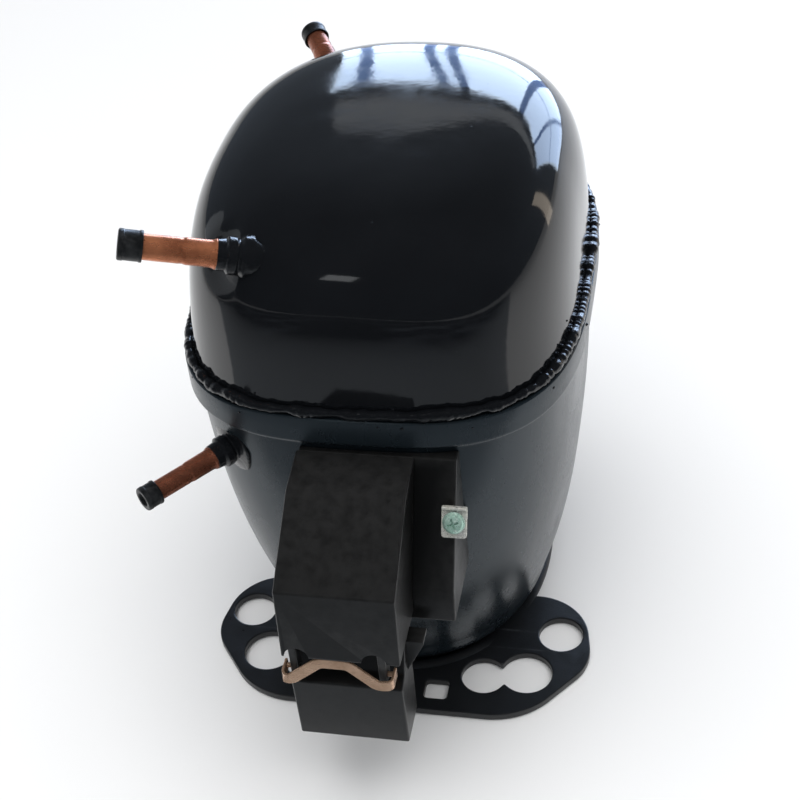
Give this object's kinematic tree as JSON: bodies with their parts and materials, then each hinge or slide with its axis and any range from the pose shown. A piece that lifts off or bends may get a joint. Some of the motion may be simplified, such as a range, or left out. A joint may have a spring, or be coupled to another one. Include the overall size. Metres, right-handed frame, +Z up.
{
  "type": "hermetic reciprocating compressor",
  "caption": "Hermetic reciprocating compressor: welded oval casing on a stamped foot plate, pipe stubs, terminal box, sprung motor and crank-driven piston.",
  "frame": {"origin": "centre of the casing in plan, on the underside of the base plate", "axes": "+Z up along the crankshaft; the terminal cover faces -Y; +X is to the right of someone looking at the cover"},
  "size_m": [0.1654, 0.2688, 0.2315],
  "materials": {
    "black_paint": "high-gloss black stoved enamel over drawn steel",
    "plate_paint": "satin black enamel on stamped steel",
    "copper": "drawn copper, slightly tarnished",
    "black_rubber": "matt black moulded rubber",
    "black_plastic": "satin black moulded plastic with a fine grain",
    "grey_plastic": "matt pale grey phenolic",
    "zinc": "bright zinc plating",
    "green_zinc": "green chromated zinc plating",
    "steel": "machined or pressed bare steel",
    "cast_iron": "grey cast iron, as cast and oiled",
    "lamination": "stacked electrical steel laminations",
    "winding": "varnished enamelled copper wire, laced",
    "aluminium": "die-cast aluminium",
    "glass": "fused glass seal",
    "gasket": "compressed fibre sheet",
    "muffler_plastic": "natural moulded plastic"
  },
  "bodies": {
    "casing": {"base_plate": "plate_paint", "lower_shell": "black_paint", "upper_shell": "black_paint", "weld_bead": "black_paint", "suction_tube": "copper", "suction_sleeve": "black_paint", "discharge_tube": "copper", "discharge_sleeve": "black_paint", "process_tube": "copper", "process_sleeve": "black_paint", "terminal_body": "steel", "terminal_insulator": "glass", "terminal_pin_1": "steel", "terminal_pin_2": "steel", "terminal_pin_3": "steel", "terminal_box": "black_plastic", "cord_box": "black_plastic", "start_relay": "grey_plastic", "overload_protector": "black_plastic", "earth_bracket": "zinc", "earth_screw": "green_zinc", "spring_mount": "steel", "suspension_spring_1": "steel", "suspension_spring_2": "steel", "suspension_spring_3": "steel", "suspension_spring_4": "steel", "discharge_loop": "copper"},
    "cover": {"terminal_cover": "black_plastic"},
    "clip": {"cord_clip": "copper"},
    "suction_cap_body": {"suction_cap": "black_rubber"},
    "discharge_cap_body": {"discharge_cap": "black_rubber"},
    "process_cap_body": {"process_cap": "black_rubber"},
    "pump_unit": {"crankcase": "cast_iron", "stator_core": "lamination", "winding_top": "winding", "winding_bottom": "winding", "stator_bolt_1": "steel", "stator_bolt_2": "steel", "stator_bolt_3": "steel", "stator_bolt_4": "steel", "valve_plate": "steel", "head_gasket": "gasket", "cylinder_head": "aluminium", "head_screw_1": "steel", "head_screw_2": "steel", "head_screw_3": "steel", "head_screw_4": "steel", "suction_muffler": "muffler_plastic", "discharge_muffler": "steel"},
    "crank": {"crankshaft": "steel", "counterweight": "cast_iron", "oil_pickup": "steel", "rotor_core": "lamination", "rotor_ring_top": "aluminium", "rotor_ring_bottom": "aluminium"},
    "slide_block_body": {"slide_block": "steel"},
    "yoke_link": {"yoke_plug": "steel"},
    "piston": {"piston_yoke": "cast_iron"},
    "suction_reed_body": {"suction_reed": "steel"},
    "discharge_reed_body": {"discharge_reed": "steel"}
  },
  "joints": [
    {"name": "cover_slide", "type": "slide", "parent": "casing", "child": "cover", "axis": [0, -1, 0], "range_m": [0, 0.035]},
    {"name": "clip_swing", "type": "hinge", "parent": "cover", "child": "clip", "pos_m": [0, -0.1438, 0.0772], "axis": [1, 0, 0], "range_deg": [0, 75]},
    {"name": "suction_cap_pull", "type": "slide", "parent": "casing", "child": "suction_cap_body", "axis": [-0.9194, -0.2821, 0.2741], "range_m": [0, 0.012]},
    {"name": "discharge_cap_pull", "type": "slide", "parent": "casing", "child": "discharge_cap_body", "axis": [-0.6397, -0.7677, -0.038], "range_m": [0, 0.012]},
    {"name": "process_cap_pull", "type": "slide", "parent": "casing", "child": "process_cap_body", "axis": [-0.4899, 0.8318, 0.2609], "range_m": [0, 0.012]},
    {"name": "unit_float", "type": "slide", "parent": "casing", "child": "pump_unit", "axis": [0, 0, 1], "range_m": [-0.003, 0.002], "stiffness_N_per_m": 30000, "springref_m": 0.00167, "deforming": ["suspension_spring_1", "suspension_spring_2", "suspension_spring_3", "suspension_spring_4", "discharge_loop"]},
    {"name": "crank_spin", "type": "hinge", "parent": "pump_unit", "child": "crank", "pos_m": [0, 0, 0.1], "axis": [0, 0, 1], "continuous": true},
    {"name": "slide_block_turn", "type": "hinge", "parent": "crank", "child": "slide_block_body", "pos_m": [0, 0.009, 0.138], "axis": [0, 0, 1], "continuous": true},
    {"name": "yoke_link_turn", "type": "hinge", "parent": "crank", "child": "yoke_link", "pos_m": [0, 0.0045, 0.138], "axis": [0, 0, 1], "continuous": true},
    {"name": "piston_turn", "type": "hinge", "parent": "yoke_link", "child": "piston", "pos_m": [0, 0.009, 0.138], "axis": [0, 0, 1], "continuous": true},
    {"name": "suction_reed_flex", "type": "hinge", "parent": "pump_unit", "child": "suction_reed_body", "pos_m": [-0.0085, 0.0617, 0.138], "axis": [0, 0, -1], "range_deg": [0, 3.5], "stiffness_Nm_per_rad": 0.05},
    {"name": "discharge_reed_flex", "type": "hinge", "parent": "pump_unit", "child": "discharge_reed_body", "pos_m": [0.0085, 0.0659, 0.138], "axis": [0, 0, -1], "range_deg": [0, 5], "stiffness_Nm_per_rad": 0.05}
  ],
  "couplings": [
    {"joint": "slide_block_turn", "follows": "crank_spin", "ratio": -1},
    {"joint": "yoke_link_turn", "follows": "crank_spin", "ratio": -2},
    {"joint": "piston_turn", "follows": "crank_spin", "ratio": 1}
  ]
}
